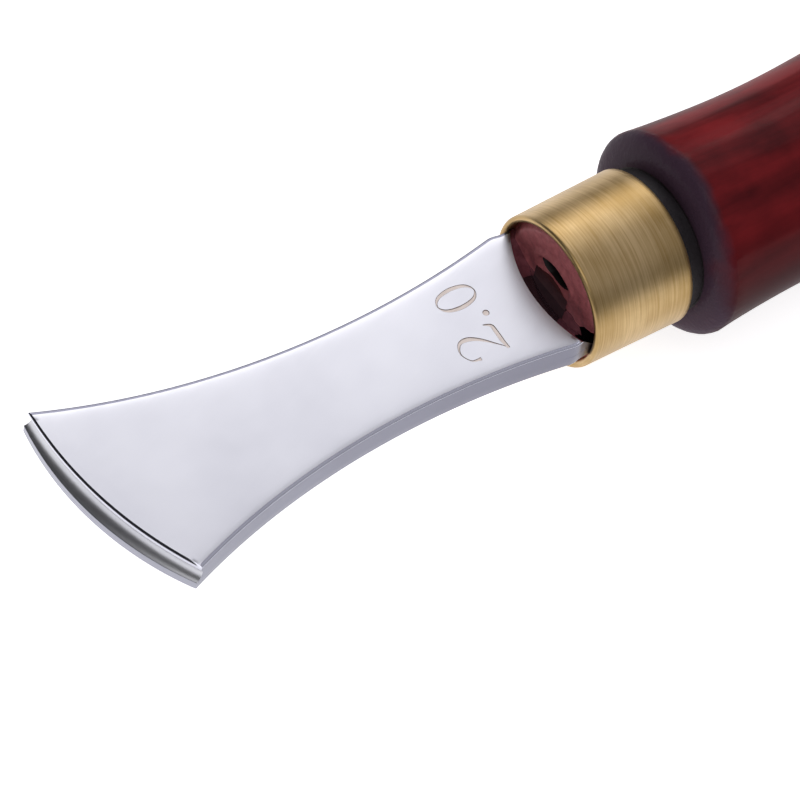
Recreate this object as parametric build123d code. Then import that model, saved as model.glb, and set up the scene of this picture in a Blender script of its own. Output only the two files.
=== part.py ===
from build123d import *
import os

# Edge creaser: a flared steel head with a lipped, grooved tip, held by a tang
# in a turned hardwood handle with a brass ferrule.
# Millimetres. X runs along the tool from the tip (-X) to the butt (+X),
# Z is up out of the face that carries the size mark, and the tool lies on Z = 0.
# The functions below build in tool coordinates, with X = 0 where the plate's
# sides turn straight at the ferrule and Z = 0 on the tool's axis. The last
# step moves every piece.

# ---- driving dimensions -------------------------------------------------
head_reach = 47.5          # X = 0 to the tip of the lower lip
ferrule_mouth_x = 0.6
ferrule_length = 10.7
handle_length = 91.7       # ferrule's rear end to the butt
swell_radius = 12.2        # thickest part of the handle

# head: a plate with concave flanks
plate_thickness = 3.2
waist_x = -17.2            # narrowest place of the plate
waist_half_width = 5.36
tip_flare = 0.0057         # growth of the half width with distance squared, tip side
tip_flare_end = 8.3e-7     # the flare opens faster towards the corners
root_flare = 0.0056        # growth towards the ferrule
root_half_width = 6.6      # inside the ferrule's bore
flank_step = 4.6           # spacing of the points that carry each flank
flank_steps_to_tip = 7     # steps from the waist to past the tip
flank_steps_to_root = 3    # steps from the waist towards the ferrule
edge_break = 0.3           # small bevel along the plate's long edges

# tip: two lips with a groove between them, ground as arcs that lean a little
upper_lip_thickness = 0.5
groove_width = 2.0         # the tool's size: the distance between its two lines
upper_lip_radius = 36.8
upper_lip_centre = (-10.2, 8.1)
lower_lip_radius = 30.0
lower_lip_centre = (-17.5, 6.4)
groove_floor_radius = 32.3
groove_floor_centre = (-13.9, 7.2)

# root: the top face stops at a hollow arc and slopes down to the tang
root_arc_radius = 14.1
root_arc_centre = (12.5, -1.6)
tang_width = 4.4
tang_thickness = 1.4
tang_end_width = 2.6
tang_length = 38.0

# ferrule: brass tube over the handle's tenon
ferrule_bore_radius = 6.9
ferrule_front_radius = 7.42
ferrule_rear_radius = 7.62
ferrule_lip_round = 0.25

# handle: turned hardwood
tenon_x = 1.0              # the wood's end stands just inside the ferrule's mouth
tenon_showing = 1.7        # bare wood between the ferrule and the shoulder
shoulder_face_radius = 7.1
shoulder_radius = 10.04
shoulder_length = 1.65     # from the shoulder's face to its full radius
neck_radius = 9.44
neck_x = 26.0
swell_x = 71.0
butt_round = 9.0
butt_drop = 2.4            # how far the radius falls by the start of the butt's round
pocket_depth = 4.0         # open end of the tang's hole, seen as a dark slot
pocket_top = 2.6           # height of the hole's upper side above the axis
dam_top = 1.2              # height of the glue that stands in the slot
dam_depth = 0.7
glue_film = 0.15           # glue around the tang
glue_sump = 1.0            # glue past the tang's end

# directions that the handle's profile takes at its knots, as (x, radius)
along_tool = (1, 0)
away_from_axis = (0, 1)
butt_close = (0, -1)

# ---- values that follow -------------------------------------------------
ferrule_rear_x = ferrule_mouth_x + ferrule_length
overall_length = head_reach + ferrule_rear_x + handle_length
plate_top = plate_thickness / 2
plate_bottom = -plate_thickness / 2
tang_top = plate_bottom + tang_thickness
groove_top = plate_top - upper_lip_thickness
groove_bottom = groove_top - groove_width
ramp_height = plate_top - tang_top
tang_end_x = tenon_x + tang_length
shoulder_face_x = ferrule_rear_x + tenon_showing
shoulder_x = shoulder_face_x + shoulder_length
butt_x = ferrule_rear_x + handle_length
blank_tip_x = waist_x - flank_step * flank_steps_to_tip
flank_points = flank_steps_to_tip + flank_steps_to_root + 1
shortest_long_edge = flank_step * 9     # only the plate's flanks are longer
keep_width = 8 * root_half_width        # wider than the plate anywhere
keep_height = 2 * plate_thickness
home = Location((head_reach - overall_length / 2, 0, swell_radius))


def half_width(x):
    """Half width of the plate at x."""
    away = x - waist_x
    if away > 0:
        return waist_half_width + root_flare * away**2
    return waist_half_width + tip_flare * away**2 + tip_flare_end * away**4


def flank(side):
    """One long edge of the plate, from past the tip to just before the mouth."""
    xs = [blank_tip_x + flank_step * i for i in range(flank_points)]
    return Spline([(x, side * half_width(x)) for x in xs])


def plate_blank():
    """The flared plate, left long at the tip, up to the tenon's face."""
    near = flank(1)
    far = flank(-1)
    near_end = near @ 1
    far_end = far @ 1
    root = Polyline(
        near_end,
        (0, root_half_width),
        (tenon_x, root_half_width),
        (tenon_x, -root_half_width),
        (0, -root_half_width),
        far_end,
    )
    closing = Line(near @ 0, far @ 0)
    outline = make_face(Curve() + [near, root, far, closing])
    blank = extrude(Pos(0, 0, plate_bottom) * outline, amount=plate_thickness)
    long_edges = [e for e in blank.edges() if e.length > shortest_long_edge]
    return chamfer(long_edges, edge_break)


def arc_layer(blank, centre, radius, bottom, top):
    """The part of the blank inside one arc of the tip, between two heights."""
    height = top - bottom
    disc = Pos(centre[0], centre[1], bottom + height / 2) * Cylinder(radius, height)
    return blank & disc


def root_part(blank):
    """Everything of the blank behind the waist, which no tip arc touches."""
    box_length = tenon_x - waist_x
    keep = Pos(waist_x + box_length / 2, 0, 0) * Box(box_length, keep_width, keep_height)
    return blank & keep


def tip_part(blank):
    """The flared end: upper lip, groove floor and lower lip."""
    front_length = waist_x - blank_tip_x
    keep = Pos(waist_x - front_length / 2, 0, 0) * Box(front_length, keep_width, keep_height)
    front = blank & keep
    upper = arc_layer(front, upper_lip_centre, upper_lip_radius, groove_top, plate_top)
    floor = arc_layer(front, groove_floor_centre, groove_floor_radius, groove_bottom, groove_top)
    lower = arc_layer(front, lower_lip_centre, lower_lip_radius, plate_bottom, groove_bottom)
    return upper + floor + lower


def root_hollow():
    """The hollow at the root: an arc in the top face with a slope of one in one."""
    cone = Cone(root_arc_radius - ramp_height, root_arc_radius, ramp_height)
    return Pos(root_arc_centre[0], root_arc_centre[1], tang_top + ramp_height / 2) * cone


def tang_outline(grow, end_x):
    """Plan of the tang, or of the hole around it, from the tenon's face to end_x."""
    half = tang_width / 2 + grow
    half_end = tang_end_width / 2 + grow
    return make_face(
        Polyline(
            (tenon_x, half),
            (end_x, half_end),
            (end_x, -half_end),
            (tenon_x, -half),
            close=True,
        )
    )


def tang():
    """Flat tapered tang, flush with the plate's underside."""
    return extrude(Pos(0, 0, plate_bottom) * tang_outline(0, tang_end_x), amount=tang_thickness)


def tang_hole():
    """The hole in the handle: a close fit for glue and tang, open higher at its mouth."""
    hole_bottom = plate_bottom - glue_film
    deep = extrude(
        Pos(0, 0, hole_bottom) * tang_outline(glue_film, tang_end_x + glue_sump),
        amount=tang_thickness + 2 * glue_film,
    )
    mouth = extrude(
        Pos(0, 0, hole_bottom) * tang_outline(glue_film, tenon_x + pocket_depth),
        amount=pocket_top - hole_bottom,
    )
    return deep + mouth


def creaser_head():
    """Flared plate, tip lips, hollow root and tang, one piece of steel."""
    blank = plate_blank()
    plate = root_part(blank) + tip_part(blank)
    return (plate - root_hollow()) + tang()


def ferrule():
    """Slightly tapered brass tube with a rounded front lip."""
    outside = Rot(0, 90, 0) * Cone(
        ferrule_front_radius, ferrule_rear_radius, ferrule_length, align=(Align.CENTER, Align.CENTER, Align.MIN)
    )
    bore = Rot(0, 90, 0) * Cylinder(
        ferrule_bore_radius, ferrule_length, align=(Align.CENTER, Align.CENTER, Align.MIN)
    )
    tube = outside - bore
    front_edges = tube.edges().filter_by(GeomType.CIRCLE).group_by(Axis.X)[0]
    return Pos(ferrule_mouth_x, 0, 0) * fillet(front_edges, ferrule_lip_round)


def handle_profile():
    """Half section of the handle above its axis."""
    front_shoulder = Spline(
        (shoulder_face_x, shoulder_face_radius),
        (shoulder_x, shoulder_radius),
        tangents=(away_from_axis, along_tool),
    )
    neck = Spline(
        (shoulder_x, shoulder_radius),
        (neck_x, neck_radius),
        (swell_x, swell_radius),
        tangents=(along_tool, along_tool),
    )
    back = Spline(
        (swell_x, swell_radius),
        (butt_x - butt_round, swell_radius - butt_drop),
        (butt_x, 0),
        tangents=(along_tool, butt_close),
    )
    tenon = Polyline(
        (butt_x, 0),
        (tenon_x, 0),
        (tenon_x, ferrule_bore_radius),
        (shoulder_face_x, ferrule_bore_radius),
        (shoulder_face_x, shoulder_face_radius),
    )
    return make_face(Curve() + [front_shoulder, neck, back, tenon])


def handle():
    """Turned handle with its tenon and the hole for the tang."""
    return revolve(handle_profile(), Axis.X, 360) - tang_hole()


def tang_adhesive():
    """Cured glue: a film round the tang and a low dam in the open slot."""
    film_bottom = plate_bottom - glue_film
    film = extrude(
        Pos(0, 0, film_bottom) * tang_outline(glue_film, tang_end_x + glue_sump),
        amount=tang_thickness + 2 * glue_film,
    )
    dam = extrude(
        Pos(0, 0, tang_top) * tang_outline(glue_film, tenon_x + dam_depth),
        amount=dam_top - tang_top,
    )
    return film + dam - tang()


pieces = {
    "creaser_head": creaser_head(),
    "ferrule": ferrule(),
    "handle": handle(),
    "tang_adhesive": tang_adhesive(),
}

os.makedirs("parts", exist_ok=True)
for name, piece in pieces.items():
    piece.label = name
    export_step(home * piece, f"parts/{name}.step")
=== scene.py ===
"""Looks of a hand edge creaser: flared steel head, brass ferrule, lacquered handle."""

import logging
import math
from dataclasses import dataclass
from enum import Enum, IntEnum
from functools import partial
from typing import Callable, Optional, Sequence, Union

import bmesh
import bpy
from mathutils import Matrix, Vector, noise


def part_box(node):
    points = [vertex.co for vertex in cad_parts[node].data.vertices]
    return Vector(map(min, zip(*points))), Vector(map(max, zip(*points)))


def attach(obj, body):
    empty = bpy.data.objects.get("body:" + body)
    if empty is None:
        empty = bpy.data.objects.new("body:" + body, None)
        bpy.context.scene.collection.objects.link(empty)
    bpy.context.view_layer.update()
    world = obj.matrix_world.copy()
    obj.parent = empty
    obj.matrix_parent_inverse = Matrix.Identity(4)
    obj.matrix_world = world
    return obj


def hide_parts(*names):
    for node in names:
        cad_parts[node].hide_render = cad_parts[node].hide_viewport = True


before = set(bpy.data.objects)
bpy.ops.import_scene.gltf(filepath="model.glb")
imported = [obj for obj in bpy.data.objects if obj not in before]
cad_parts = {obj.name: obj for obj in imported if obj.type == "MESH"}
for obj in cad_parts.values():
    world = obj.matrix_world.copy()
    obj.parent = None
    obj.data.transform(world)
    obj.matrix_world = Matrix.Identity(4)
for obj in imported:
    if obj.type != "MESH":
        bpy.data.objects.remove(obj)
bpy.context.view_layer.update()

LOG = logging.getLogger("edge_creaser")
MM = 0.001
BODY = "root"
FERRULE_MOUTH_MM = 0.6      # where the ferrule begins, in tool coordinates
WELD_M = 1e-7
THINNEST_HALF_MM = 0.012    # half the thinnest stroke that can still be cut
SETTLE_ROUNDS = 14          # rounds until a point of the plate's plan stops moving

Point = tuple[float, float, float]
Section = tuple[float, float]
Colour = tuple[float, float, float, float]
Tree = bpy.types.NodeTree
Socket = bpy.types.NodeSocket
Paint = Union[Colour, Socket]
Material = bpy.types.Material
Piece = bpy.types.Object
Vert = bmesh.types.BMVert
Rule = Callable[[int], int]


class Slot(Enum):
    """Material slot names for the new pieces; nothing in the script uses them."""

    STEEL = "polished_steel"
    BRASS = "brass_tube"
    WOOD = "lacquered_wood"


# ---- helpers


def linear(colour: str) -> Colour:
    """Turn an sRGB hex colour, such as "c0a060", into linear RGBA."""
    parts = [int(colour[i : i + 2], 16) / 255 for i in (0, 2, 4)]
    values = [c / 12.92 if c <= 0.04045 else ((c + 0.055) / 1.055) ** 2.4 for c in parts]
    return values[0], values[1], values[2], 1.0


def add_node(
    tree: Tree, kind: str, settings: Optional[dict] = None, inputs: Optional[dict] = None
) -> bpy.types.Node:
    """Add one shader node, set its properties, and fill or link its inputs by name or index."""
    node = tree.nodes.new(kind)
    for name, value in (settings or {}).items():
        setattr(node, name, value)
    for name, value in (inputs or {}).items():
        if isinstance(value, bpy.types.NodeSocket):
            tree.links.new(value, node.inputs[name])
        else:
            node.inputs[name].default_value = value
    return node


def mottle(tree: Tree, vector: Socket, size_mm: float, detail: float) -> Socket:
    """Add noise whose features are about size_mm across."""
    values = {"Vector": vector, "Scale": 1 / (size_mm * MM), "Detail": detail}
    return add_node(tree, "ShaderNodeTexNoise", inputs=values).outputs["Fac"]


def mix(tree: Tree, factor: Socket, low: Paint, high: Paint) -> Socket:
    """Mix two colours by a factor."""
    values = {0: factor, 6: low, 7: high}
    return add_node(tree, "ShaderNodeMix", {"data_type": "RGBA"}, values).outputs[2]


def maths(tree: Tree, operation: str, *values: Union[Socket, float]) -> Socket:
    """Add one step of arithmetic."""
    node = add_node(tree, "ShaderNodeMath", {"operation": operation}, dict(enumerate(values)))
    return node.outputs["Value"]


def vector_maths(
    tree: Tree, operation: str, one: Socket, two: Union[Point, Vector], output: str = "Vector"
) -> Socket:
    """Add one step of vector arithmetic."""
    values = {0: one, 1: two}
    return add_node(tree, "ShaderNodeVectorMath", {"operation": operation}, values).outputs[output]


def remap(
    tree: Tree, value: Socket, low: float = 0, high: float = 1, to: Section = (0, 1), eased: bool = False
) -> Socket:
    """Carry a value from the range low to high into the range `to`, eased if wanted."""
    kind = "SMOOTHSTEP" if eased else "LINEAR"
    values = {"Value": value, "From Min": low, "From Max": high, "To Min": to[0], "To Max": to[1]}
    return add_node(tree, "ShaderNodeMapRange", {"interpolation_type": kind}, values).outputs["Result"]


def bump(tree: Tree, height: Socket, depth_mm: float, **more: Union[Socket, float]) -> Socket:
    """Raise a surface by a height from 0 to 1, depth_mm at most."""
    values = {"Strength": 1.0, "Distance": depth_mm * MM, "Height": height, **more}
    return add_node(tree, "ShaderNodeBump", inputs=values).outputs["Normal"]


def add_object(name: str, data: bpy.types.ID) -> Piece:
    """Put a new object into the scene."""
    piece = bpy.data.objects.new(name, data)
    bpy.context.scene.collection.objects.link(piece)
    return piece


def smooth(t: float) -> float:
    """Ease a value between 0 and 1."""
    t = min(1.0, max(0.0, t))
    return t * t * (3 - 2 * t)


def blend(a: float, b: float, t: float) -> float:
    """Mix two numbers."""
    return a + (b - a) * t


def rise(t: float, shape: Point) -> float:
    """Climb to a height, from a start and over a stretch."""
    height, start, stretch = shape
    return height * smooth((t - start) / stretch)


def hump(t: float, shape: Point) -> float:
    """Climb to a height at a place and fall again, within a width."""
    height, place, width = shape
    return height * math.exp(-(((t - place) / width) ** 2))


@dataclass(frozen=True)
class Place:
    """Tool coordinates in millimetres: X = 0 just ahead of the ferrule, Z = 0 on the axis."""

    start_x: float
    axis_y: float
    axis_z: float

    def __call__(self, x: float, y: float, z: float) -> Vector:
        """Give a tool point in the frame's metres."""
        return Vector((self.start_x + x * MM, self.axis_y + y * MM, self.axis_z + z * MM))


def find_place() -> Place:
    """Read the tool's axis and its start from the frame's ferrule."""
    low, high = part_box("ferrule")
    return Place(low[0] - FERRULE_MOUTH_MM * MM, (low[1] + high[1]) / 2, (low[2] + high[2]) / 2)


class MeshMaker:
    """Collects vertices and faces, and makes one object of them."""

    def __init__(self, place: Place) -> None:
        """Start empty, in the tool's coordinates."""
        self.place = place
        self.mesh = bmesh.new()

    def point(self, x: float, y: float, z: float) -> Vert:
        """Add a vertex at a tool point."""
        return self.mesh.verts.new(self.place(x, y, z))

    def loop(self, points: Sequence[Point]) -> list[Vert]:
        """Add a row of vertices."""
        return [self.point(*p) for p in points]

    def bridge(
        self, one: Sequence[Vert], two: Sequence[Vert], slot: Union[int, Rule] = 0, closed: bool = True
    ) -> None:
        """Join two rows or, if closed, two rings with quads; slot is a material index or its rule."""
        count = len(one)
        for i in range(count if closed else count - 1):
            j = (i + 1) % count
            face = self.mesh.faces.new((one[i], one[j], two[j], two[i]))
            face.material_index = slot(i) if callable(slot) else slot

    def bridge_all(self, rows: Sequence[Sequence[Vert]], slot: int = 0) -> None:
        """Join each ring to the next."""
        for one, two in zip(rows, rows[1:]):
            self.bridge(one, two, slot)

    def cap(self, ring: Sequence[Vert], tip: Point, slot: int = 0) -> None:
        """Close a ring with a fan to one point."""
        centre = self.point(*tip)
        for i, vert in enumerate(ring):
            face = self.mesh.faces.new((vert, ring[(i + 1) % len(ring)], centre))
            face.material_index = slot

    def finish(self, name: str, materials: Sequence[Material]) -> Piece:
        """Write the mesh to an object with smooth faces and outward normals."""
        bmesh.ops.remove_doubles(self.mesh, verts=self.mesh.verts, dist=WELD_M)
        bmesh.ops.recalc_face_normals(self.mesh, faces=self.mesh.faces)
        if self.mesh.calc_volume(signed=True) < 0:
            bmesh.ops.reverse_faces(self.mesh, faces=self.mesh.faces)
        data = bpy.data.meshes.new(name)
        self.mesh.to_mesh(data)
        self.mesh.free()
        data.shade_smooth()
        for material in materials:
            data.materials.append(material)
        return add_object(name, data)


def carve(piece: Piece, cutter: Piece) -> None:
    """Take a closed cutter out of a piece; the cut surfaces keep the cutter's material."""
    modifier = piece.modifiers.new("cut", "BOOLEAN")
    modifier.operation = "DIFFERENCE"
    modifier.solver = "MANIFOLD"
    modifier.material_mode = "TRANSFER"
    modifier.object = cutter
    graph = bpy.context.evaluated_depsgraph_get()
    data = bpy.data.meshes.new_from_object(piece.evaluated_get(graph))
    piece.modifiers.remove(modifier)
    old = piece.data
    piece.data = data
    bpy.data.meshes.remove(old)
    bpy.data.objects.remove(cutter)


def join(piece: Piece, other: Piece) -> None:
    """Put another object's mesh into a piece, and remove the other object."""
    mesh = bmesh.new()
    mesh.from_mesh(piece.data)
    mesh.from_mesh(other.data)
    mesh.to_mesh(piece.data)
    mesh.free()
    bpy.data.objects.remove(other)


def sharpen(piece: Piece, degrees: float) -> None:
    """Mark edges sharper than an angle, so that flat faces stay flat."""
    piece.data.set_sharp_from_angle(angle=math.radians(degrees))


# ---- finishes


@dataclass(frozen=True)
class Finish:
    """What every finish has: a name and a principled shader."""

    name: str

    def start(self) -> tuple[Material, Tree, Socket]:
        """Give an empty material, its node tree and the piece's own coordinates."""
        material = bpy.data.materials.new(self.name)
        material.use_nodes = True
        tree = material.node_tree
        tree.nodes.clear()
        return material, tree, add_node(tree, "ShaderNodeTexCoord").outputs["Object"]

    def dress(self, tree: Tree, values: dict) -> None:
        """Give the material its principled shader with these inputs."""
        shader = add_node(tree, "ShaderNodeBsdfPrincipled", inputs=values)
        add_node(tree, "ShaderNodeOutputMaterial", inputs={"Surface": shader.outputs["BSDF"]})


@dataclass(frozen=True)
class PolishedSteel(Finish):
    """Stainless steel, ground and then buffed: a soft mirror with faint hairlines.

    The eye gets a cool bright metal whose reflections are spread a little along the hairlines
    and bent a little by the slow ripple.
    """

    colour: str = "d0d0da"
    shade: str = "c4c4d0"
    roughness: float = 0.16
    roughness_span: Section = (0.85, 1.2)   # in and between the hairlines
    hairline_mm: float = 0.12   # buffing hairlines, drawn coarser than real ones to show
    hairline_run_mm: float = 4.0
    hairline_depth_mm: float = 0.0008
    ripple_mm: float = 8.0      # slow waves that hand polishing leaves
    ripple_depth_mm: float = 0.05
    run_turn: float = -0.35     # the hairlines' direction in the plate, in radians

    def material(self) -> Material:
        """Build the material."""
        material, tree, spot = self.start()
        turn = (0, 0, self.run_turn)
        turned = add_node(tree, "ShaderNodeMapping", inputs={"Vector": spot, "Rotation": turn})
        squeeze = (self.hairline_mm / self.hairline_run_mm, 1.0, 1.0)
        stretched = vector_maths(tree, "MULTIPLY", turned.outputs["Vector"], squeeze)
        hairs = mottle(tree, stretched, self.hairline_mm, 3.0)
        waves = mottle(tree, spot, self.ripple_mm, 2.0)
        ripple = bump(tree, waves, self.ripple_depth_mm)
        low, high = self.roughness_span
        self.dress(tree, {
            "Metallic": 1.0,
            "Base Color": mix(tree, waves, linear(self.shade), linear(self.colour)),
            "Roughness": remap(tree, hairs, to=(self.roughness * low, self.roughness * high)),
            "Normal": bump(tree, hairs, self.hairline_depth_mm, Normal=ripple),
        })
        return material


@dataclass(frozen=True)
class BrushedBrass(Finish):
    """Drawn brass tube, brushed round its axis.

    The eye gets rings of fine scratches, a broad warm sheen instead of a mirror, and duller
    patches where the metal has tarnished.
    """

    place: Place = Place(0, 0, 0)
    colour: str = "ccb082"
    dull: str = "a58754"
    roughness: float = 0.38
    roughness_span: Section = (0.8, 1.3)
    scratch_mm: float = 0.16    # brushing rings, drawn coarser than real ones to show
    scratch_turn: float = 0.025     # how quickly a ring changes round the tube
    scratch_depth_mm: float = 0.004
    stain_mm: float = 5.0
    stain_span: Section = (0.12, 0.38)

    def material(self) -> Material:
        """Build the material."""
        material, tree, spot = self.start()
        local = vector_maths(tree, "SUBTRACT", spot, self.place(0, 0, 0))
        squeezed = vector_maths(tree, "MULTIPLY", local, (1.0, self.scratch_turn, self.scratch_turn))
        rings = mottle(tree, squeezed, self.scratch_mm, 4.0)
        stains = mottle(tree, spot, self.stain_mm, 5.0)
        worn = remap(tree, maths(tree, "MULTIPLY", stains, rings), *self.stain_span)
        low, high = self.roughness_span
        self.dress(tree, {
            "Metallic": 1.0,
            "Base Color": mix(tree, worn, linear(self.dull), linear(self.colour)),
            "Roughness": remap(tree, rings, to=(self.roughness * low, self.roughness * high)),
            "Normal": bump(tree, rings, self.scratch_depth_mm),
        })
        return material


@dataclass(frozen=True)
class LacqueredWood(Finish):
    """Turned hardwood under dark red lacquer.

    The eye gets a streaky, cloudy red, with painted shade that darkens it towards the lower, near
    side, a faint clear gloss over it, and a dull pitted ring of dark end wood at the shoulder,
    whose purple-grey carries a painted sheen.
    """

    place: Place = Place(0, 0, 0)
    red: str = "8c2428"
    # dark of the streaks, and of the painted shade on the lower, near side
    deep: str = "380d12"
    # end ring: dark end wood, lightened to purple-grey as a painted sheen
    end: str = "463442"
    streak_mm: float = 2.6
    streak_run_mm: float = 26.0
    cloud_mm: float = 9.0
    patch_span: Section = (0.12, 0.36)
    end_from_mm: float = 13.6   # the dark end ring stops about here
    end_to_mm: float = 15.2
    end_wander_mm: float = 4.0  # how far the ring's ragged edge swings
    undercoat_roughness: float = 0.45
    undercoat_ior: float = 1.35
    undercoat_shine: float = 0.04
    gloss: float = 0.08
    gloss_ior: float = 1.5
    gloss_roughness: float = 0.12
    painted_shade_way: Point = (0.0, -0.7, -0.7)    # painted shade: the red darkens down and towards the near side
    painted_shade_from_mm: float = -6.0     # the painted shade deepens that way, from here
    painted_shade_to_mm: float = 9.0        # to here
    pit_mm: float = 0.35
    pit_depth_mm: float = 0.05
    pit_span: Section = (1.0, 0.04)     # strength on the end ring and on the body

    def material(self) -> Material:
        """Build the material."""
        material, tree, spot = self.start()
        local = vector_maths(tree, "SUBTRACT", spot, self.place(0, 0, 0))
        along = add_node(tree, "ShaderNodeSeparateXYZ", inputs={0: local}).outputs["X"]
        squeeze = (self.streak_mm / self.streak_run_mm, 1.0, 1.0)
        stretched = vector_maths(tree, "MULTIPLY", local, squeeze)
        streaks = mottle(tree, stretched, self.streak_mm, 6.0)
        clouds = mottle(tree, local, self.cloud_mm, 4.0)
        patchy = remap(tree, maths(tree, "MULTIPLY", streaks, clouds), *self.patch_span)
        # Painted shade: the red is darkened towards the lower, near side, where the lamps would leave
        # shade.
        down = vector_maths(tree, "DOT_PRODUCT", local, self.painted_shade_way, "Value")
        painted_light_share = remap(tree, down, self.painted_shade_from_mm * MM, self.painted_shade_to_mm * MM, (1.0, 0.0), eased=True)
        streaks_and_painted_light = maths(tree, "MULTIPLY", patchy, painted_light_share)
        stain_and_painted_shade = mix(tree, streaks_and_painted_light, linear(self.deep), linear(self.red))
        ragged = maths(tree, "MULTIPLY_ADD", clouds, self.end_wander_mm * MM, along)
        shift = self.end_wander_mm / 2
        ring_end = ((self.end_from_mm + shift) * MM, (self.end_to_mm + shift) * MM)
        ended = remap(tree, ragged, *ring_end, eased=True)
        strength = remap(tree, ended, to=self.pit_span)
        pits = bump(tree, mottle(tree, local, self.pit_mm, 3.0), self.pit_depth_mm, Strength=strength)
        self.dress(tree, {
            # The end ring's purple-grey is partly real dark end wood and partly a painted sheen.
            "Base Color": mix(tree, ended, linear(self.end), stain_and_painted_shade),
            "Roughness": self.undercoat_roughness,
            "IOR": self.undercoat_ior,
            "Specular IOR Level": self.undercoat_shine,
            "Coat Weight": self.gloss,
            "Coat IOR": self.gloss_ior,
            "Coat Roughness": self.gloss_roughness,
            "Normal": pits,
            "Coat Normal": pits,
        })
        return material


@dataclass(frozen=True)
class PlainRough(Finish):
    """A dull surface with a two-tone grain: bare end wood, near-black painted shadow or cured glue."""

    light: str
    dark: str
    grain_mm: float = 0.5
    depth_mm: float = 0.08
    roughness: float = 0.6

    def material(self) -> Material:
        """Build the material."""
        material, tree, spot = self.start()
        grain = mottle(tree, spot, self.grain_mm, 5.0)
        self.dress(tree, {
            "Base Color": mix(tree, grain, linear(self.dark), linear(self.light)),
            "Roughness": self.roughness,
            "Normal": bump(tree, grain, self.depth_mm),
        })
        return material


# ---- head


class Steel(IntEnum):
    """The head's materials, in order."""

    FACE = 0        # buffed
    FLANK = 1       # ground, and coloured darker as painted shade
    GROOVE = 2      # turned
    LIP = 3         # satin, below the groove
    EDGE = 4        # polished rounding


class Mark(IntEnum):
    """The size mark's materials, in order."""

    FLOOR = 0
    WALL = 1


@dataclass(frozen=True)
class Level:
    """One height through the plate."""

    z: float
    mix: float              # 0 for the lower lip's arc, 1 for the upper lip's
    back: float = 0.0       # how far the tip's arc is drawn back
    inset: float = 0.0      # how far the long edges are drawn in


@dataclass(frozen=True)
class Arc:
    """A plan arc whose centre lies behind it."""

    x: float
    y: float
    radius: float

    def front(self, y: float) -> float:
        """X of the arc on the side towards the tip."""
        return self.x - math.sqrt(max(0.0, self.radius**2 - (y - self.y) ** 2))


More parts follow.
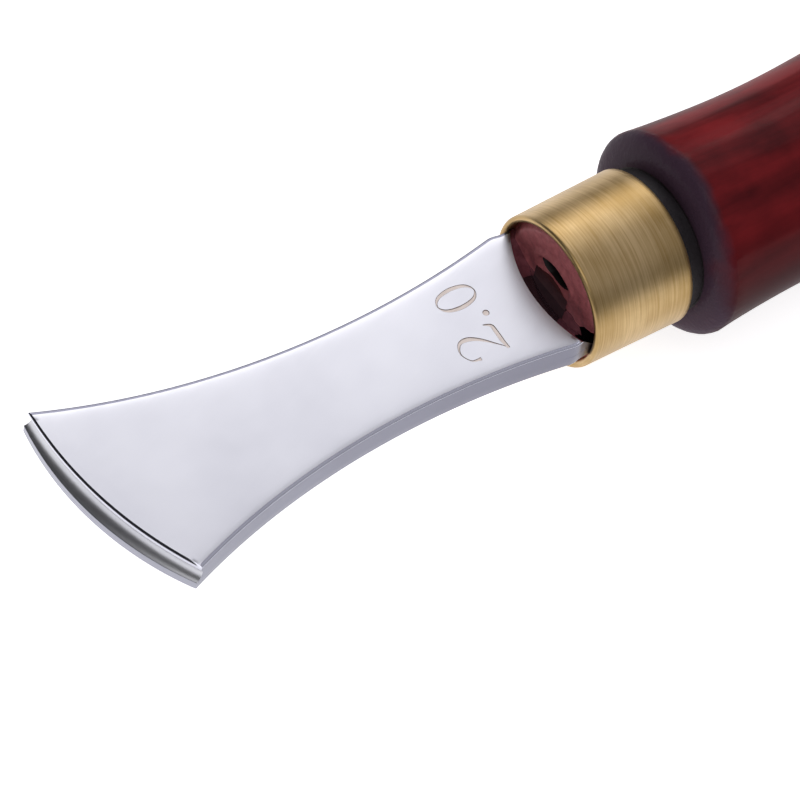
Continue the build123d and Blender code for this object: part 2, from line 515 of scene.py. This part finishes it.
@dataclass
class CreaserHead:
    """Flared plate with two lips and a groove at the tip, a hollow root and a tang."""

    place: Place
    thickness: float = 3.2
    waist_x: float = -17.2
    waist_half: float = 5.36
    tip_flare: float = 0.0057
    tip_flare_end: float = 8.3e-7
    root_flare: float = 0.0056
    root_half: float = 6.6
    mouth_ease: float = 1.5
    seat_x: float = 2.2         # the plate's root stops this deep, in the handle's sawn slot
    upper_lip: Arc = Arc(-10.2, 8.1, 36.8)
    lower_lip: Arc = Arc(-17.5, 6.4, 30.0)
    upper_lip_thickness: float = 0.55
    groove_width: float = 1.55
    groove_depth: float = 0.4
    root_arc: Arc = Arc(12.5, -1.6, 14.1)
    tang_thickness: float = 1.4
    tang_width: float = 4.4
    tang_end_width: float = 2.6
    tang_length: float = 38.0
    tang_start: float = 1.0
    tang_sunk: float = 0.02     # keeps the tang's faces off the plate's
    tang_steps: int = 8
    edge_round: float = 0.24
    tip_bevel: float = 0.17
    lip_break: float = 0.03
    crown_near: Section = (0.06, 0.3)   # drop at the edge and the stretch it fades over
    crown_wide: Section = (0.06, 1.6)
    crowd_share: float = 0.9    # how far the grid crowds towards the long edges
    even_share: float = 0.1
    along: int = 130
    across: int = 84
    round_steps: int = 6
    groove_steps: int = 26
    rim_cells: int = 3          # grid cells along each flank that buffing has rounded over
    mark: Sequence[Material] = ()
    materials: Sequence[Material] = ()

    def half_width(self, x: float) -> float:
        """Half width of the plate at x, eased into the ferrule's bore at the mouth."""
        away = x - self.waist_x
        if away > 0:
            wide = self.waist_half + self.root_flare * away**2
            return blend(wide, self.root_half, smooth((x + self.mouth_ease) / self.mouth_ease))
        return self.waist_half + self.tip_flare * away**2 + self.tip_flare_end * away**4

    def groove(self) -> tuple[float, float]:
        """Lower and upper edge of the groove."""
        top = self.thickness / 2 - self.upper_lip_thickness
        return top - self.groove_width, top

    def levels(self) -> list[Level]:
        """Heights through the plate, from the underside up."""
        half = self.thickness / 2
        low, top = self.groove()
        steps = self.round_steps
        rows = []
        for i in range(steps + 1):
            turn = math.pi / 2 * i / steps
            draw = 1 - math.sin(turn)
            up = self.edge_round * (1 - math.cos(turn))
            rows.append(Level(up - half, 0.0, self.tip_bevel * draw, self.edge_round * draw))
        lip = self.lip_break
        rows += [Level(low - 2 * lip, 0.0), Level(low - lip, 0.0), Level(low, 0.0, lip)]
        sink = self.groove_depth
        radius = (sink**2 + (self.groove_width / 2) ** 2) / (2 * sink)
        count = self.groove_steps
        for i in range(1, count):
            t = i / count
            off = (t - 0.5) * self.groove_width
            deep = math.sqrt(radius**2 - off**2) - (radius - sink)
            rows.append(Level(blend(low, top, t), t, lip + deep))
        rows += [Level(top, 1.0, lip), Level(top + lip, 1.0), Level(top + 2 * lip, 1.0)]
        bevel = self.tip_bevel / self.edge_round
        for i in range(steps + 1):
            turn = math.pi / 2 * i / steps
            fall = self.edge_round * (1 - math.sin(turn))
            draw = 1 - math.cos(turn)
            flat = max(0.0, self.edge_round - fall) / self.edge_round
            back = self.tip_bevel * max(0.0, (flat - 1 + bevel) / bevel)
            rows.append(Level(half - fall, 1.0, back, self.edge_round * draw))
        return rows

    def tip_x(self, y: float, level: Level) -> float:
        """X of the tip at one height."""
        low, high = self.lower_lip, self.upper_lip
        radius = blend(low.radius, high.radius, level.mix) - level.back
        return Arc(blend(low.x, high.x, level.mix), blend(low.y, high.y, level.mix), radius).front(y)

    def root_x(self, y: float, z: float) -> float:
        """X of the root's end at one height."""
        tang_top = -self.thickness / 2 + self.tang_thickness
        if z < tang_top:
            return self.seat_x
        arc = Arc(self.root_arc.x, self.root_arc.y, self.root_arc.radius - (self.thickness / 2 - z))
        return min(self.seat_x, arc.front(y))

    def plan_point(self, u: float, v: float, level: Level) -> Section:
        """Plan position at one height: u from tip (0) to root (1), v from near (-1) to far flank (1)."""
        x = blend(self.tip_x(0, level), self.root_x(0, level.z), u)
        y = 0.0
        for _ in range(SETTLE_ROUNDS):
            y = v * (self.half_width(x) - level.inset)
            x = blend(self.tip_x(y, level), self.root_x(y, level.z), u)
        return x, y

    def spread(self, t: float) -> float:
        """Turn an even -1 to 1 into one that crowds towards the long edges."""
        return math.sin(t * math.pi / 2) * self.crowd_share + t * self.even_share

    def crown(self, x: float, y: float, inset: float) -> float:
        """How far buffing has lowered a flat face at a point near its long edges."""
        edge = max(0.0, self.half_width(x) - inset - abs(y))
        falls = (self.crown_near, self.crown_wide)
        return sum(drop * math.exp(-edge / fade) for drop, fade in falls)

    def height(self, x: float, y: float, level: Level) -> float:
        """Height of a point, with the buffed fall of the two faces."""
        half = self.thickness / 2
        share = max(0.0, abs(level.z) - (half - self.edge_round)) / self.edge_round
        return level.z - math.copysign(self.crown(x, y, level.inset) * share, level.z)

    def surface_point(self, u: float, v: float, level: Level) -> Point:
        """Give a point of the plate, with its height."""
        x, y = self.plan_point(u, v, level)
        return x, y, self.height(x, y, level)

    def outline(self, level: Level) -> list[Point]:
        """The closed outline at one height, starting at the tip's near corner."""
        across = [i / self.across for i in range(self.across)]
        along = [i / self.along for i in range(self.along)]
        path = [(0, self.spread(-1 + 2 * t)) for t in across] + [(t, 1) for t in along]
        path += [(1, self.spread(1 - 2 * t)) for t in across] + [(1 - t, -1) for t in along]
        return [self.surface_point(u, v, level) for u, v in path]

    def face_steel(self, j: int) -> Steel:
        """Choose the steel of one cell across a flat face."""
        if min(j, self.across - 1 - j) >= self.rim_cells:
            return Steel.FACE
        # The far rim cells take the flank's darker steel: a painted dark line along the face's far edge.
        return Steel.FLANK if j > self.across / 2 else Steel.EDGE

    def face(self, maker: MeshMaker, level: Level) -> None:
        """Fill the top or the underside with a grid that meets the outline."""
        sides = [self.spread(-1 + 2 * j / self.across) for j in range(self.across + 1)]
        rows = []
        for i in range(self.along + 1):
            rows.append(maker.loop([self.surface_point(i / self.along, v, level) for v in sides]))
        for one, two in zip(rows, rows[1:]):
            maker.bridge(one, two, self.face_steel, closed=False)

    def tang(self) -> Piece:
        """Build the tang behind the seat, flush with the underside."""
        maker = MeshMaker(self.place)
        low = -self.thickness / 2 + self.tang_sunk
        rings = []
        high = low + self.tang_thickness - self.tang_sunk
        for step in range(self.tang_steps + 1):
            t = step / self.tang_steps
            x = self.tang_start + self.tang_length * t
            half = blend(self.tang_width, self.tang_end_width, t) / 2
            corners = [(x, half, low), (x, -half, low), (x, -half, high), (x, half, high)]
            rings.append(maker.loop(corners))
        maker.bridge_all(rings)
        maker.mesh.faces.new(rings[0])
        maker.mesh.faces.new(rings[-1])
        return maker.finish("creaser_tang", self.materials)

    def side_steel(self, level: Level, after: Level, i: int) -> Steel:
        """Choose the steel between two heights, at place i along the outline."""
        low, top = self.groove()
        middle = (level.z + after.z) / 2
        if i < self.across:
            if low < middle < top:
                return Steel.GROOVE
            return Steel.LIP if middle < low else Steel.EDGE
        far_flank = i < self.across + self.along
        near_flank = i >= 2 * self.across + self.along
        if far_flank or (near_flank and level.inset == after.inset == 0):
            return Steel.FLANK
        return Steel.EDGE

    def build(self) -> Piece:
        """Build the whole head as one piece of steel."""
        maker = MeshMaker(self.place)
        rows = self.levels()
        rings = [maker.loop(self.outline(level)) for level in rows]
        for one, two, level, after in zip(rings, rings[1:], rows, rows[1:]):
            maker.bridge(one, two, partial(self.side_steel, level, after))
        self.face(maker, rows[0])
        self.face(maker, rows[-1])
        piece = maker.finish("edge_creaser_head", self.materials)
        SizeMark(self.place, materials=self.mark).cut(piece)
        join(piece, self.tang())
        sharpen(piece, degrees=30)
        return piece


@dataclass(frozen=True)
class Stroke:
    """One cut stroke of the size mark: knots with the stroke's width at each, in mm.

    Knots are (right, up, width) in the mark's own lines of writing.
    """

    knots: tuple[Point, ...]
    closed: bool = False

    def sample(self, steps: int = 9) -> list[Point]:
        """Smooth the knots with a Catmull-Rom curve."""
        knots = [Vector(k) for k in self.knots]
        count = len(knots)
        spans = count if self.closed else count - 1
        points = []
        for i in range(spans):
            near = [i - 1, i, i + 1, i + 2]
            pick = [k % count if self.closed else min(max(k, 0), count - 1) for k in near]
            a, b, c, d = (knots[k] for k in pick)
            for k in range(steps):
                t = k / steps
                square = 2 * a - 5 * b + 4 * c - d
                cube = 3 * b - a - 3 * c + d
                points.append(tuple((2 * b + (c - a) * t + square * t**2 + cube * t**3) / 2))
        if not self.closed:
            points.append(tuple(knots[-1]))
        return points

    def sides(self, share: float, trim: float) -> tuple[list[Section], list[Section]]:
        """Left and right edge of the stroke, its width times `share`, each drawn in by `trim`."""
        points = self.sample()
        count = len(points)
        left = []
        right = []
        for i, (x, y, width) in enumerate(points):
            ahead = points[(i + 1) % count] if self.closed else points[min(i + 1, count - 1)]
            behind = points[i - 1] if self.closed or i else points[0]
            run = Vector((ahead[0] - behind[0], ahead[1] - behind[1])).normalized()
            half = max(THINNEST_HALF_MM, width * share / 2 - trim)
            left.append((x - run.y * half, y + run.x * half))
            right.append((x + run.y * half, y - run.x * half))
        return left, right


@dataclass
class SizeMark:
    """The gauge, 2.0, cut into the plate's top face and read from the tip's side."""

    place: Place
    top: float = 1.6
    depth: float = 0.06
    wall: float = 0.055         # plan width of the dark walls
    weight: float = 0.95        # factor on every stroke's width
    lift: float = 0.3
    materials: Sequence[Material] = ()
    two_at: Section = (-6.55, -2.5)
    dot_at: Section = (-6.35, 0.1)
    zero_at: Section = (-7.8, 2.7)
    two: tuple[Stroke, ...] = (
        Stroke((
            (-1.25, 3.05, 0.42), (-1.0, 3.95, 0.16), (0.0, 4.4, 0.14), (0.95, 3.9, 0.34),
            (1.05, 3.0, 0.5), (0.5, 2.0, 0.34), (-0.5, 1.0, 0.16), (-1.35, 0.25, 0.12),
        )),
        Stroke((
            (-1.5, 0.2, 0.3), (-0.6, 0.26, 0.44), (0.5, 0.2, 0.44), (1.25, 0.22, 0.34), (1.65, 0.85, 0.1),
        )),
    )
    zero: tuple[Stroke, ...] = (
        Stroke((
            (0.0, 1.98, 0.13), (0.78, 1.42, 0.36), (1.06, 0.0, 0.46), (0.78, -1.42, 0.36),
            (0.0, -1.98, 0.13), (-0.78, -1.42, 0.36), (-1.06, 0.0, 0.46), (-0.78, 1.42, 0.36),
        ), closed=True),
    )
    dot_radius: float = 0.32
    dot_points: int = 20

    def heights(self) -> tuple[Section, ...]:
        """Give the cutters' heights, each with how far its outline is drawn in."""
        return (self.top - self.depth, self.wall), (self.top, 0.0), (self.top + self.lift, 0.0)

    def spot(self, at: Section, point: Section, z: float) -> Point:
        """Turn writing coordinates into tool ones: up is towards the tip."""
        return at[0] - point[1], at[1] + point[0], z

    def cutter(self, at: Section, stroke: Stroke) -> Piece:
        """Make the closed cutter of one stroke: a flat floor between sloping dark walls."""
        maker = MeshMaker(self.place)
        rows = []
        for z, trim in self.heights():
            left, right = stroke.sides(self.weight, trim)
            rows.append([maker.loop([self.spot(at, p, z) for p in edge]) for edge in (left, right)])
        low, middle, high = rows
        closed = stroke.closed
        for side in (0, 1):
            maker.bridge(low[side], middle[side], Mark.WALL, closed=closed)
            maker.bridge(middle[side], high[side], Mark.WALL, closed=closed)
        maker.bridge(high[0], high[1], Mark.WALL, closed=closed)
        maker.bridge(low[0], low[1], Mark.FLOOR, closed=closed)
        if not closed:
            for end in (0, -1):
                edge = [row[0][end] for row in rows] + [row[1][end] for row in reversed(rows)]
                maker.mesh.faces.new(edge).material_index = Mark.WALL
        return maker.finish("size_mark_cutter", self.materials)

    def dot(self) -> Piece:
        """Make the cutter of the point between the figures."""
        maker = MeshMaker(self.place)
        turns = [math.tau * i / self.dot_points for i in range(self.dot_points)]
        rings = []
        for z, trim in self.heights():
            radius = self.dot_radius - trim
            points = [(radius * math.cos(a), radius * math.sin(a)) for a in turns]
            rings.append(maker.loop([self.spot(self.dot_at, p, z) for p in points]))
        maker.bridge_all(rings, Mark.WALL)
        maker.cap(rings[0], self.spot(self.dot_at, (0, 0), self.top - self.depth), Mark.FLOOR)
        maker.cap(rings[-1], self.spot(self.dot_at, (0, 0), self.top + self.lift), Mark.WALL)
        return maker.finish("size_mark_cutter", self.materials)

    def cut(self, plate: Piece) -> None:
        """Cut every sign into the plate."""
        for at, strokes in ((self.two_at, self.two), (self.zero_at, self.zero)):
            for stroke in strokes:
                carve(plate, self.cutter(at, stroke))
        carve(plate, self.dot())


# ---- turned pieces


class Turned(IntEnum):
    """The handle's materials, in order."""

    BODY = 0
    END = 1         # bare end wood
    PAINTED_SHADOW = 2        # painted shadow: near black, in the hole and the sawn slot
    # exposed tenon: dark wood, near black as painted shadow
    TENON = 3


def ring(
    x: float, radius: float, count: int, lift: Optional[Callable[[float, float], float]] = None
) -> list[Point]:
    """Points round the tool's axis at x; lift may give an extra radius from x and angle."""
    points = []
    for i in range(count):
        angle = math.tau * i / count
        r = radius + (lift(x, angle) if lift else 0.0)
        points.append((x, r * math.cos(angle), r * math.sin(angle)))
    return points


@dataclass
class Ferrule:
    """Brass tube with a rounded front lip."""

    place: Place
    start: float = FERRULE_MOUTH_MM
    end: float = 11.3
    bore: float = 6.9
    front: float = 7.42
    rear: float = 7.62
    lip_round: float = 0.34
    lip_depth: float = 0.9      # the rolled lip meets the bore this far inside
    rear_break: float = 0.06
    around: int = 224
    lip_steps: int = 20
    outer_steps: int = 24
    bore_steps: int = 12
    materials: Sequence[Material] = ()

    def profile(self) -> list[Section]:
        """Closed section: round the rolled lip, along the outside and back inside."""
        points = []
        middle = self.front - self.lip_round
        for i in range(self.lip_steps + 1):
            turn = math.pi * (1 - i / self.lip_steps)
            x = self.start + self.lip_round * (1 - math.sin(turn))
            points.append((x, middle + self.lip_round * math.cos(turn)))
        for i in range(1, self.outer_steps + 1):
            t = i / self.outer_steps
            x = blend(self.start + self.lip_round, self.end - self.rear_break, t)
            points.append((x, blend(self.front, self.rear, t)))
        points.append((self.end, self.rear - self.rear_break))
        points.append((self.end, self.bore))
        for i in range(self.bore_steps, 0, -1):
            x = blend(self.start + self.lip_depth, self.end, i / self.bore_steps)
            points.append((x, self.bore))
        return points

    def build(self) -> Piece:
        """Build the tube."""
        maker = MeshMaker(self.place)
        rings = [maker.loop(ring(x, r, self.around)) for x, r in self.profile()]
        maker.bridge_all(rings + rings[:1])
        piece = maker.finish("brass_ferrule", self.materials)
        sharpen(piece, degrees=50)
        return piece


@dataclass
class Handle:
    """Turned handle with its tenon end and the open slot in it."""

    place: Place
    tenon_x: float = 1.0
    tenon: float = 6.9
    shoulder_x: float = 13.0
    shoulder_face: float = 7.1
    crest_x: float = 14.65
    crest: float = 10.04
    neck_x: float = 26.0
    neck: float = 9.44
    swell_x: float = 71.0
    swell: float = 12.2
    butt_x: float = 103.0
    hole_half: float = 2.05
    hole_low: float = 1.37
    hole_high: float = 2.93
    hole_y: float = 0.22
    hole_depth: float = 5.0
    hole_start: float = 0.4     # how far behind the tenon's end its straight wall begins
    hole_taper: float = 0.04
    saw_depth: float = 2.8      # the slot that takes the plate's root
    saw_lead: float = 2.0
    saw_outline: tuple[Section, ...] = (
        (-7.5, -1.7), (7.5, -1.7), (7.5, 0.6), (5.6, 0.3),
        (5.0, -0.15), (-4.4, -0.15), (-5.0, 0.5), (-7.5, 0.9),
    )
    lean: float = 0.012         # the turning isn't quite true to its ferrule
    lean_from: float = 12.0
    lean_side: Section = (0.898, 0.441)
    crest_power: float = 1.8
    butt_power: float = 2.6
    hole_power: float = 2.2
    wave_radius: float = 10.0
    slow_wave: Section = (0.1, 0.04)        # waves per mm and height
    slow_start: float = 4.0
    rough_waves: tuple[Section, ...] = ((2.6, 0.03), (6.0, 0.02))
    rough_stretch: Point = (0.5, 16.0, 1.6)     # starts within, ends at and fades over
    coarse_grain: Section = (0.9, 0.12)
    fine_grain: Section = (3.0, 0.04)
    grain_fade: float = 0.4
    end_fall: Point = (0.9, 5.8, 1.1)       # towards the tenon's rim
    end_ridge: Point = (0.12, 0.86, 0.07)   # raised round the hole
    end_moat: Point = (0.07, 0.66, 0.07)    # sunk round the ridge
    end_dish: Point = (0.3, 0.92, 0.08)     # down into the hole
    end_back: float = 0.15
    around: int = 256
    tenon_steps: int = 5
    tenon_bevel: float = 2.0
    face_steps: int = 2
    shoulder_steps: int = 30
    body_steps: int = 150
    end_steps: int = 34
    hole_steps: int = 6
    butt_gap: float = 0.02
    materials: Sequence[Material] = ()

    def axis(self, x: float) -> Section:
        """Y and Z of the turning's own axis at x."""
        away = max(0.0, x - self.lean_from) * self.lean
        back = 1 - smooth((x - self.neck_x) / (self.swell_x - self.neck_x))
        return -away * back * self.lean_side[0], -away * back * self.lean_side[1]

    def radius(self, x: float) -> float:
        """Radius of the turned body at x, behind the crest."""
        if x < self.neck_x:
            t = (x - self.crest_x) / (self.neck_x - self.crest_x)
            return blend(self.crest, self.neck, 1 - (1 - t) ** self.crest_power)
        if x < self.swell_x:
            t = (x - self.neck_x) / (self.swell_x - self.neck_x)
            return blend(self.neck, self.swell, smooth(t))
        t = (x - self.swell_x) / (self.butt_x - self.swell_x)
        return self.swell * math.sqrt(max(0.0, 1 - t**self.butt_power))

    def profile(self) -> list[Section]:
        """Section from the tenon's edge to just before the butt's centre."""
        points = [(self.tenon_x, self.tenon)]
        for i in range(1, self.tenon_steps + 1):
            x = blend(self.tenon_x + self.tenon_bevel, self.shoulder_x, i / self.tenon_steps)
            points.append((x, self.tenon))
        for i in range(1, self.face_steps + 1):
            points.append((self.shoulder_x, blend(self.tenon, self.shoulder_face, i / self.face_steps)))
        for i in range(1, self.shoulder_steps + 1):
            turn = math.pi / 2 * i / self.shoulder_steps
            x = self.shoulder_x + (self.crest_x - self.shoulder_x) * (1 - math.cos(turn))
            points.append((x, self.shoulder_face + (self.crest - self.shoulder_face) * math.sin(turn)))
        for i in range(1, self.body_steps):
            t = i / self.body_steps
            x = blend(self.crest_x, self.butt_x, math.sin(t * math.pi / 2))
            points.append((x, self.radius(x)))
        return points

    def lift(self, x: float, angle: float) -> float:
        """Small unevenness of the turned surface, rougher where the shoulder turns."""
        if x <= self.shoulder_x:
            return 0.0
        spot = Vector((x, self.wave_radius * math.cos(angle), self.wave_radius * math.sin(angle)))
        often, tall = self.slow_wave
        slow = noise.noise(spot * often) * tall - tall
        start, end, fade = self.rough_stretch
        turn = smooth((x - self.shoulder_x) / start) * smooth((end - x) / fade)
        rough = sum(noise.noise(spot * often) * tall for often, tall in self.rough_waves)
        return slow * smooth((x - self.shoulder_x) / self.slow_start) + turn * rough

    def oval(self, x: float, grow: float) -> list[Point]:
        """The hole's rim, with its points facing those of a full ring."""
        middle = (self.hole_low + self.hole_high) / 2
        tall = (self.hole_high - self.hole_low) / 2 + grow
        wide = self.hole_half + grow
        points = []
        for i in range(self.around):
            angle = math.tau * i / self.around
            c, s = math.cos(angle), math.sin(angle)
            power = self.hole_power
            reach = (abs(c / wide) ** power + abs(s / tall) ** power) ** (-1 / power)
            points.append((x, self.hole_y + reach * c, middle + reach * s))
        return points

    def end_grain(self, y: float, z: float, t: float) -> float:
        """How far the tenon's end stands back at a point, from its rim (t = 0) to the hole (1)."""
        often, tall = self.coarse_grain
        fine_often, fine_tall = self.fine_grain
        coarse = noise.noise(Vector((y * often, z * often, 4.0))) * tall
        ragged = coarse + noise.noise(Vector((y, z, 1.0)) * fine_often) * fine_tall
        ridge = hump(t, self.end_ridge) - hump(t, self.end_moat)
        fallen = rise(math.hypot(y, z), self.end_fall)
        return fallen + ragged * (1 - t * self.grain_fade) - ridge + rise(t, self.end_dish) + self.end_back

    def saw_cutter(self) -> Piece:
        """The slot sawn across the tenon for the plate's root, deeper at its sides."""
        maker = MeshMaker(self.place)
        front = maker.loop([(self.tenon_x - self.saw_lead, y, z) for y, z in self.saw_outline])
        back = maker.loop([(self.tenon_x + self.saw_depth, y, z) for y, z in self.saw_outline])
        maker.bridge(front, back)
        maker.mesh.faces.new(front)
        maker.mesh.faces.new(back)
        # The slot's cut faces take the near-black painted shadow.
        return maker.finish("saw_cutter", [self.materials[Turned.PAINTED_SHADOW]])

    def end_rows(self) -> list[list[Point]]:
        """Give the tenon's end, from its rim to the hole."""
        outer = ring(self.tenon_x, self.tenon, self.around)
        inner = self.oval(self.tenon_x, 0.0)
        rows = []
        for i in range(self.end_steps + 1):
            t = i / self.end_steps
            row = []
            for a, b in zip(outer, inner):
                y, z = blend(a[1], b[1], t), blend(a[2], b[2], t)
                row.append((self.tenon_x + max(0.0, self.end_grain(y, z, t)), y, z))
            rows.append(row)
        return rows

    def build(self) -> Piece:
        """Build the handle as one closed mesh."""
        maker = MeshMaker(self.place)
        sections = self.profile()
        rings = []
        for x, r in sections:
            dy, dz = self.axis(x)
            points = ring(x, r, self.around, self.lift)
            rings.append(maker.loop([(px, y + dy, z + dz) for px, y, z in points]))
        for one, two, section in zip(rings, rings[1:], sections[1:]):
            maker.bridge(one, two, Turned.TENON if section[0] <= self.shoulder_x else Turned.BODY)
        maker.cap(rings[-1], (self.butt_x - self.butt_gap, 0, 0), Turned.BODY)
        rim, *inward = self.end_rows()
        for vert, point in zip(rings[0], rim):
            vert.co = self.place(*point)
        end = [rings[0]] + [maker.loop(row) for row in inward]
        maker.bridge_all(end, Turned.END)
        hole = [end[-1]]
        hole_x = self.tenon_x + self.hole_start
        for i in range(1, self.hole_steps + 1):
            x = hole_x + self.hole_depth * i / self.hole_steps
            hole.append(maker.loop(self.oval(x, -self.hole_taper * i)))
        # The hole takes the near-black painted shadow.
        maker.bridge_all(hole, Turned.PAINTED_SHADOW)
        middle = (self.hole_low + self.hole_high) / 2
        maker.cap(hole[-1], (hole_x + self.hole_depth, self.hole_y, middle), Turned.PAINTED_SHADOW)
        piece = maker.finish("turned_handle", self.materials)
        carve(piece, self.saw_cutter())
        sharpen(piece, degrees=60)
        return piece


# ---- studio


@dataclass(frozen=True)
class Softbox:
    """One soft rectangular light, placed in metres from the tool's origin."""

    name: str
    spot: Point
    aim: Point
    size: Section
    watts: float
    colour: str

    def hang(self, place: Place) -> None:
        """Hang the light so that it faces its aim."""
        data = bpy.data.lights.new(self.name, "AREA")
        data.shape = "RECTANGLE"
        data.size, data.size_y = self.size
        data.energy = self.watts
        data.color = linear(self.colour)[:3]
        lamp = add_object(self.name, data)
        lamp.location = place(0, 0, 0) + Vector(self.spot)
        lamp.rotation_euler = (Vector(self.aim) - Vector(self.spot)).to_track_quat("-Z", "Y").to_euler()


@dataclass
class Studio:
    """Pale floor, soft lights and the camera."""

    place: Place
    camera_mm: Point = (-148.135, -127.313, 253.186)
    look: Point = (0.42, 0.40, -0.81462)
    right: Point = (0.81088, -0.56848, 0.13893)
    lens_mm: float = 160.863
    sensor_mm: float = 36.0
    clip_m: Section = (0.01, 20.0)
    floor_m: float = 3.0
    floor_cells: int = 8
    floor_gap_m: float = 0.0002
    floor_colour: str = "f7f7f8"
    floor_roughness: float = 0.9
    floor_glow: float = 0.78    # the paper lies on a light table
    room_colour: str = "f6f6ff"
    room_dark: float = 0.035
    room_light: float = 0.5
    room_heights: Section = (0.1, 0.65)     # from dark below to light overhead
    room_sides: Section = (-0.35, 0.25)     # from dark at the tip to light behind the handle
    lights: tuple[Softbox, ...] = (
        Softbox("main_softbox", (0.27, 0.36, 0.43), (-0.02, 0, 0), (0.62, 0.5), 0.88, "fafaff"),
        Softbox("bright_core", (0.22, 0.36, 0.33), (0, 0, 0), (0.3, 0.1), 0.2, "fffdf8"),
        Softbox("tip_side_fill", (-0.3, -0.25, 0.6), (0, 0, 0), (0.5, 0.5), 1.2, "ffffff"),
    )

    def floor(self) -> None:
        """Lay a pale glowing floor under the tool."""
        maker = bmesh.new()
        cells = self.floor_cells
        bmesh.ops.create_grid(maker, x_segments=cells, y_segments=cells, size=self.floor_m / 2)
        data = bpy.data.meshes.new("floor")
        maker.to_mesh(data)
        maker.free()
        floor = add_object("floor", data)
        floor.location = (0, 0, -self.floor_gap_m)
        paper = Finish("pale_paper")
        material, tree, _ = paper.start()
        paper.dress(tree, {
            "Base Color": linear(self.floor_colour),
            "Roughness": self.floor_roughness,
            "Emission Color": linear("ffffff"),
            "Emission Strength": self.floor_glow,
        })
        data.materials.append(material)

    def world(self) -> None:
        """Surround the tool with a room that is lighter overhead and behind the handle."""
        world = bpy.data.worlds.new("soft_room")
        world.use_nodes = True
        tree = world.node_tree
        tree.nodes.clear()
        way = add_node(tree, "ShaderNodeTexCoord").outputs["Generated"]
        apart = add_node(tree, "ShaderNodeSeparateXYZ", inputs={0: way})
        height = remap(tree, apart.outputs["Z"], *self.room_heights, eased=True)
        side = remap(tree, apart.outputs["X"], *self.room_sides, eased=True)
        share = maths(tree, "MULTIPLY", height, side)
        glow = remap(tree, share, to=(self.room_dark, self.room_light))
        values = {"Color": linear(self.room_colour), "Strength": glow}
        back = add_node(tree, "ShaderNodeBackground", inputs=values)
        add_node(tree, "ShaderNodeOutputWorld", inputs={"Surface": back.outputs["Background"]})
        bpy.context.scene.world = world

    def camera(self) -> None:
        """Set the camera at its viewing angle."""
        data = bpy.data.cameras.new("camera")
        data.sensor_width = self.sensor_mm
        data.lens = self.lens_mm
        data.clip_start, data.clip_end = self.clip_m
        camera = add_object("camera", data)
        forward = Vector(self.look).normalized()
        right = Vector(self.right)
        right = (right - forward * right.dot(forward)).normalized()
        up = right.cross(forward)
        turn = Matrix((right, up, -forward)).transposed().to_4x4()
        camera.matrix_world = Matrix.Translation(self.place(*self.camera_mm)) @ turn
        bpy.context.scene.camera = camera

    def build(self) -> None:
        """Set up floor, lights, surroundings and camera."""
        self.floor()
        for light in self.lights:
            light.hang(self.place)
        self.world()
        self.camera()
        bpy.context.scene.view_settings.view_transform = "Standard"


# ---- main


def steels() -> list[Material]:
    """Make the head's steels, in the order of Steel."""
    finishes = (
        # A bright milky face that takes the room's light evenly.
        PolishedSteel("buffed_stainless_steel", "dadade", "c8c8ce", 0.36),
        # Painted shade: flanks coloured darker for the dim surroundings they reflect, which set off the
        # face with a line.
        PolishedSteel("shaded_flank_steel", "828290", "767684", 0.3),
        # A pale soft groove.
        PolishedSteel("turned_stainless_steel", "d6d6da", "b4b4ba", 0.36),
        # A greyer lip below it.
        PolishedSteel("satin_stainless_steel", "a8a8b2", "9a9aa6", 0.34),
        # A sharp glint along the rounding.
        PolishedSteel("polished_stainless_steel", roughness=0.1),
    )
    return [finish.material() for finish in finishes]


def marks() -> list[Material]:
    """Make the size mark's materials, in the order of Mark: a warm floor and dark brown walls."""
    floor = PolishedSteel("etched_stainless_steel", "e2d6ce", "d6cac2", 0.5)
    wall = PlainRough("dark_mark_wall_steel", "8c7c70", "64564c", grain_mm=0.15)
    return [floor.material(), wall.material()]


def woods(place: Place) -> list[Material]:
    """Make the handle's materials, in the order of Turned."""
    finishes = (
        LacqueredWood("lacquered_hardwood", place),
        # A dry pink end inside the ferrule.
        PlainRough("stained_end_wood", "d07478", "8c4044"),
        # Painted shadow: nearly black, so that the hole and the slot read as deep.
        PlainRough("painted_shadow_wood", "160c0c", "050303"),
        # Painted shadow: dark wood, made near black for the shade in the gap between ferrule and shoulder.
        PlainRough("shadowed_tenon_wood", "1c1018", "0c060a", grain_mm=0.6),
    )
    return [finish.material() for finish in finishes]


def main() -> None:
    """Build every piece, dress it and report it."""
    logging.basicConfig(level=logging.INFO, format="%(message)s")
    place = find_place()

    head = CreaserHead(place, mark=marks(), materials=steels()).build()
    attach(head, BODY)
    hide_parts("creaser_head")
    LOG.info("edge_creaser_head: %d faces", len(head.data.polygons))

    brass = BrushedBrass("brushed_brass", place=place).material()
    tube = Ferrule(place, materials=[brass]).build()
    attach(tube, BODY)
    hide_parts("ferrule")
    LOG.info("brass_ferrule: %d faces", len(tube.data.polygons))

    grip = Handle(place, materials=woods(place)).build()
    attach(grip, BODY)
    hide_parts("handle")
    LOG.info("turned_handle: %d faces", len(grip.data.polygons))

    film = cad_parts["tang_adhesive"]
    film.data.materials.clear()
    glue = PlainRough("tinted_glue", light="5a2a2c", dark="3a1719", grain_mm=0.8)
    film.data.materials.append(glue.material())
    LOG.info("tang_adhesive: dressed")

    Studio(place).build()


if __name__ == "__main__":
    main()
